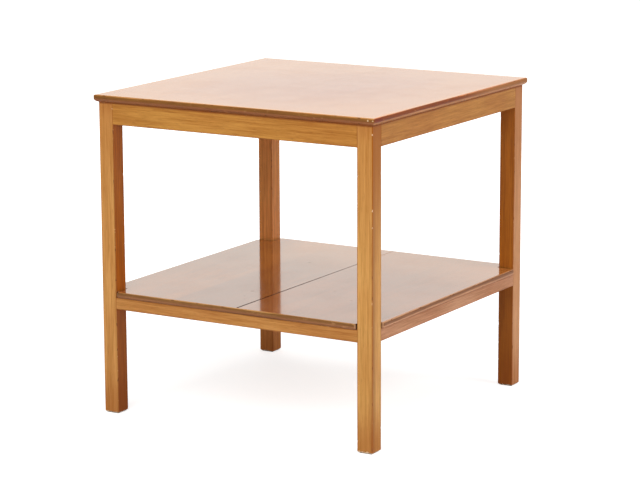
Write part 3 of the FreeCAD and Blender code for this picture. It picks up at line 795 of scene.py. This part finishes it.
def bar_arrises(name, inner_end):
    """The two lower edges of an apron or a lower rail, between the legs."""
    low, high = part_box(name)
    long_way = 0 if high.x - low.x > high.y - low.y else 1
    for side in (low[1 - long_way] + EASED, high[1 - long_way] - EASED):
        start = Vector((side, side, low.z + EASED))
        start[long_way] = -inner_end
        end = start.copy()
        end[long_way] = inner_end
        yield Arris(start, end, *BAR_CHIPS)


def lipping_arrises(name, upper_round, lower_round, chips):
    """The outer upper and outer lower edge of a lipping. A round edge's face lies inside its corner."""
    low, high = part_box(name)
    long_way = 0 if high.x - low.x > high.y - low.y else 1
    outer = max(low[1 - long_way], high[1 - long_way], key=abs)
    for level, radius, inwards in ((high.z, upper_round, -1), (low.z, lower_round, 1)):
        sunk = radius * (1 - math.sqrt(0.5))
        start = Vector((0, 0, level + inwards * sunk))
        start[1 - long_way] = math.copysign(abs(outer) - sunk, outer)
        start[long_way] = low[long_way]
        end = start.copy()
        end[long_way] = high[long_way]
        yield Arris(start, end, *chips)


# ---------------------------------------------------------------- floor, backdrop and lamps

FLOOR_HALF = 7.0
FLOOR_WHITE = (0.72, 0.72, 0.72, 1.0)
FLOOR_GLOW = 0.70  # share of the floor's white that no shadow takes away
FLOOR_SHEEN = 0.45  # share of it that the wood mirrors
SHADOW_FADES = (0.5, 2.2)  # between these distances from the middle, until the floor is plain white
PLAIN_WHITE = (1.0, 1.0, 1.0, 1.0)
MIRRORED_WHITE = (1.0, 0.93, 0.86, 1.0)  # the room as the lacquer shows it
BACKDROP = 1.0
AMBIENT = 0.32
KEY_WATTS = 53.0
SIDE_WATTS = 38.5
OVERHEAD_WATTS = 18.0
FILL_WATTS = 20.0


def lay_floor():
    """A wide matt sheet that keeps the table's shadow and looks white further out."""
    mesh = bpy.data.meshes.new("floor")
    edge = FLOOR_HALF
    corners = [(-edge, -edge, 0.0), (edge, -edge, 0.0), (edge, edge, 0.0), (-edge, edge, 0.0)]
    mesh.from_pydata(corners, [], [(0, 1, 2, 3)])
    floor = bpy.data.objects.new("floor", mesh)
    bpy.context.scene.collection.objects.link(floor)
    paper = bpy.data.materials.new("studio_paper")
    paper.use_nodes = True
    tree = Tree(paper.node_tree)
    ray = tree.node("ShaderNodeLightPath").socket.node.outputs
    camera, glossy = Wire(tree, ray["Is Camera Ray"]), Wire(tree, ray["Is Glossy Ray"])
    seen = camera.math("MAXIMUM", camera, glossy * FLOOR_SHEEN)
    matt = tree.node("ShaderNodeBsdfDiffuse", None, FLOOR_WHITE)
    place = tree.node("ShaderNodeTexCoord", output="Object")
    reach = tree.node("ShaderNodeVectorMath", {"operation": "LENGTH"}, place, output=1)
    lift = FLOOR_GLOW + tree.ease(reach, *SHADOW_FADES) * (1.0 - FLOOR_GLOW)
    glow = tree.node("ShaderNodeEmission", None, PLAIN_WHITE, seen * lift)
    both = tree.node("ShaderNodeAddShader", None, matt, glow)
    tree.node("ShaderNodeOutputMaterial", None, both)
    mesh.materials.append(paper)


def softbox(name, place, width, watts):
    """A square soft lamp that faces the middle of the table."""
    data = bpy.data.lights.new(name, "AREA")
    data.size = width
    data.energy = watts
    lamp = bpy.data.objects.new(name, data)
    lamp.location = place
    middle = Vector((0, 0, cad_high.z / 2))
    lamp.rotation_euler = (middle - lamp.location).to_track_quat("-Z", "Y").to_euler()
    bpy.context.scene.collection.objects.link(lamp)
    return lamp


def light_the_studio():
    """A world that looks white and lights softly, and four soft lamps."""
    world = bpy.data.worlds.new("studio")
    bpy.context.scene.world = world
    world.use_nodes = True
    tree = Tree(world.node_tree)
    ray = tree.node("ShaderNodeLightPath").socket.node.outputs
    camera, glossy = Wire(tree, ray["Is Camera Ray"]), Wire(tree, ray["Is Glossy Ray"])
    seen = camera.math("MAXIMUM", camera, glossy)
    strength = AMBIENT + seen * (BACKDROP - AMBIENT)
    colour = tree.blend(glossy, PLAIN_WHITE, MIRRORED_WHITE)
    sky = tree.node("ShaderNodeBackground", None, colour, strength)
    tree.node("ShaderNodeOutputWorld", None, sky)
    softbox("key", Vector((0.3, -2.6, 2.2)), 1.8, KEY_WATTS)
    softbox("side", Vector((2.8, 0.2, 1.9)), 1.6, SIDE_WATTS)
    softbox("overhead", Vector((0.2, 0.4, 3.0)), 2.4, OVERHEAD_WATTS)
    fill = softbox("fill", Vector((-2.4, 2.8, 1.7)), 2.0, FILL_WATTS)
    fill.visible_glossy = False  # else the lacquer mirrors it as a white patch


# ---------------------------------------------------------------- dressing the table

TINTS = {  # what faces outwards, and what faces into the table, mostly darker as painted shade; the paler, pinker outward colours of leg_back_right and rail_right are a painted sheen
    "leg_front_right": ((218, 160, 88), (190, 104, 40)),
    "leg_front_left": ((217, 157, 88), (200, 114, 28)),
    "leg_back_right": ((212, 152, 104), (194, 120, 40)),
    "leg_back_left": ((224, 168, 104), (232, 156, 84)),
    "apron_front": ((200, 139, 64), (176, 100, 44)),
    "apron_right": ((192, 130, 60), (176, 100, 44)),
    "apron_back": ((200, 139, 68), (190, 112, 50)),
    "apron_left": ((200, 139, 68), (190, 112, 50)),
    "rail_front": ((204, 142, 76), (176, 100, 44)),
    "rail_right": ((200, 142, 104), (176, 100, 44)),
    "rail_back": ((204, 143, 76), (176, 100, 44)),
    "rail_left": ((204, 143, 76), (176, 100, 44)),
}


def wear_the_wood():
    """Every leg, bar and lipping gets its chips. The boards and the buttons keep their edges whole."""
    chips = chip_recipe()
    broken_wood("old_break", (176, 118, 66), (118, 66, 34), 0.6)
    broken_wood("new_break", (255, 236, 204), (236, 200, 156), 0.1)
    apron_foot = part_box("apron_front")[0].z
    leg_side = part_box("leg_front_left")[1].x + HALF_FRAME
    between = HALF_FRAME - leg_side - 1 * MM
    for corner in CORNERS:
        wear(f"leg_{corner}", leg_arrises(f"leg_{corner}", apron_foot), chips)
    for side in SIDES:
        for bar in (f"apron_{side}", f"rail_{side}"):
            wear(bar, bar_arrises(bar, between), chips)
        top_lip, shelf_lip = f"top_lipping_{side}", f"shelf_lipping_{side}"
        wear(top_lip, lipping_arrises(top_lip, *TOP_ROUNDS, TOP_LIP_CHIPS), chips)
        wear(shelf_lip, lipping_arrises(shelf_lip, *SHELF_ROUNDS, SHELF_LIP_CHIPS), chips)


def solids_of(mesh):
    """The separate solids in a mesh, each as its lowest and highest corner."""
    shape = bmesh.new()
    shape.from_mesh(mesh)
    bmesh.ops.remove_doubles(shape, verts=shape.verts, dist=WELD)
    left = set(shape.verts)
    while left:
        solid, edge_of_search = set(), [min(left, key=lambda vertex: vertex.index)]
        while edge_of_search:
            vertex = edge_of_search.pop()
            if vertex in solid:
                continue
            solid.add(vertex)
            edge_of_search += [edge.other_vert(vertex) for edge in vertex.link_edges]
        left -= solid
        low = Vector([min(vertex.co[axis] for vertex in solid) for axis in range(3)])
        high = Vector([max(vertex.co[axis] for vertex in solid) for axis in range(3)])
        yield low, high
    shape.free()


SCREW_SHANK = 3.5 * MM
SCREW_HEAD_HEIGHT = 2.4 * MM
SCREW_SLOT_WIDTH = 0.9 * MM
SCREW_SLOT_DEPTH = 1.0 * MM
SCREW_PITCH = 1.5 * MM
SCREW_SMOOTH_UNDER = math.radians(40)


def turn_the_screws():
    """Puts a threaded screw, of the same head and length, in place of each plain one."""
    recipe = screw_recipe()
    steel = screw_steel("screw_steel")
    for seed, name in enumerate(("button_screws", "shelf_screws")):
        boxes = list(solids_of(nodes[name].data))
        low, high = boxes[0]
        seats = [(low + high) / 2 * Vector((1, 1, 0)) + Vector((0, 0, low.z)) for low, high in boxes]
        screws = recipe.make(
            f"{name}_threaded",
            seats,
            Shank=SCREW_SHANK,
            Head=high.x - low.x,
            Head_Height=SCREW_HEAD_HEIGHT,
            Length=high.z - low.z,
            Slot_Width=SCREW_SLOT_WIDTH,
            Slot_Depth=SCREW_SLOT_DEPTH,
            Pitch=SCREW_PITCH,
            Seed=seed,
            Material=steel,
        )
        screws.data.shade_smooth()
        screws.data.set_sharp_from_angle(angle=SCREW_SMOOTH_UNDER)
        stand_for(screws, name)


def dress(name, material):
    pieces[name].material_slots[0].material = material


def grain_of(name):
    """The axis along which the grain of a leg, a bar or a lipping runs."""
    if name.startswith("leg"):
        return "z"
    return "x" if name.endswith(("front", "back")) else "y"


def dress_frame():
    """Legs, aprons and rails, each cut from another place in the log."""
    chance = random.Random(7)
    shelf_low, shelf_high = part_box("shelf_board_left")
    shelf_level = (shelf_low.z + shelf_high.z) / 2
    for name, (outer, inner) in TINTS.items():
        shift = [chance.uniform(0, 5) for _ in AXES]
        along = grain_of(name)
        heart = (chance.choice((-0.6, 0.6)), chance.uniform(-0.1, 0.1))
        if along != "z":
            heart = (chance.uniform(-0.3, 0.3), chance.uniform(0.9, 1.1))
        dress(name, frame_wood(name, along, heart, shift, outer, inner, shelf_level))


STAVES = {"shelf_board_left": ((-0.131, 0.5),)}  # where a darker stave starts, and how much darker it is
MARKS = {  # where, how large, how strong
    "top_board_left": (((-0.096, -0.2655, 0.61), 2.5 * MM, 0.35),),
    "shelf_board_left": (
        ((-0.0432, -0.1587, 0.2375), 5.0 * MM, 0.3),
        ((-0.0821, 0.1128, 0.2375), 5.0 * MM, 0.3),
        ((-0.0332, -0.202, 0.2375), 2.4 * MM, 0.45),
        ((-0.0197, -0.2232, 0.2375), 2.4 * MM, 0.4),
    ),
    "shelf_board_right": (
        ((0.0917, -0.0831, 0.2375), 2.4 * MM, 0.45),
        ((0.1587, -0.1358, 0.2375), 2.6 * MM, 0.5),
    ),
}
BOARDS = {  # pale, deep, coat, its roughness, how much paler at the back as painted light
    "top_board_left": ((220, 140, 58), (172, 88, 50), 0.9, 0.12, 0.0),
    "top_board_right": ((214, 134, 56), (172, 88, 54), 0.88, 0.12, 0.0),
    "shelf_board_left": ((194, 118, 50), (134, 72, 32), 1.0, 0.05, 0.5),
    "shelf_board_right": ((178, 108, 62), (126, 68, 42), 0.93, 0.05, 0.35),
}
MOULDINGS = {  # face, coat, rim, upper, lower, lip, waist; rim, upper, lower and lip are painted highlight, reflection and shade
    "top_lipping_front": (
        (238, 162, 78), 0.85, (202, 140, 74), (144, 94, 42), (164, 102, 62), (184, 100, 50), 0.52,
    ),
    "top_lipping_right": (
        (232, 154, 80), 0.85, (218, 138, 86), (142, 64, 6), (212, 144, 88), (212, 134, 88), 0.40,
    ),
    "top_lipping_back": (
        (226, 148, 68), 0.85, (204, 136, 72), (146, 100, 44), (160, 98, 58), (180, 98, 52), 0.52,
    ),
    "top_lipping_left": (
        (226, 148, 68), 0.85, (216, 150, 86), (146, 100, 44), (160, 98, 58), (180, 98, 52), 0.52,
    ),
    "shelf_lipping_front": (
        (204, 130, 62), 0.9, (212, 160, 92), (146, 100, 54), (166, 112, 74), (104, 54, 24), 0.52,
    ),
    "shelf_lipping_right": (
        (212, 138, 76), 0.86, (214, 158, 112), (150, 96, 58), (214, 154, 112), (150, 86, 50), 0.44,
    ),
    "shelf_lipping_back": (
        (200, 128, 62), 0.9, (190, 134, 74), (134, 86, 42), (166, 112, 74), (110, 58, 26), 0.52,
    ),
    "shelf_lipping_left": (
        (204, 130, 60), 0.9, (190, 134, 74), (134, 86, 42), (166, 112, 74), (110, 58, 26), 0.52,
    ),
}


def dress_panels():
    """The boards of the top and the shelf, and the lippings round them."""
    chance = random.Random(3)
    for name, lacquer in BOARDS.items():
        shift = [chance.uniform(0, 5) for _ in AXES]
        dress(name, board_wood(name, shift, *lacquer, STAVES.get(name, ()), MARKS.get(name, ())))
    for name, colours in MOULDINGS.items():
        shift = [chance.uniform(0, 5) for _ in AXES]
        dress(name, lipping_wood(name, grain_of(name), shift, *colours))


BUTTON_SHIFT = (0.3, 0.1, 0.7)
BUTTON_PAINTS = ((222, 184, 132), (190, 146, 96))  # pale, deep


def dress_fixings():
    """The bare buttons. Each one's grain runs along its tongue."""
    for name in nodes:
        if name.startswith("top_button"):
            along = "y" if name.startswith(("top_button_front", "top_button_back")) else "x"
            dress(name, bare_wood(name, along, BUTTON_SHIFT, *BUTTON_PAINTS))


place_camera()
lay_floor()
light_the_studio()
wear_the_wood()
turn_the_screws()
dress_frame()
dress_panels()
dress_fixings()

bpy.context.scene.view_settings.view_transform = "Standard"
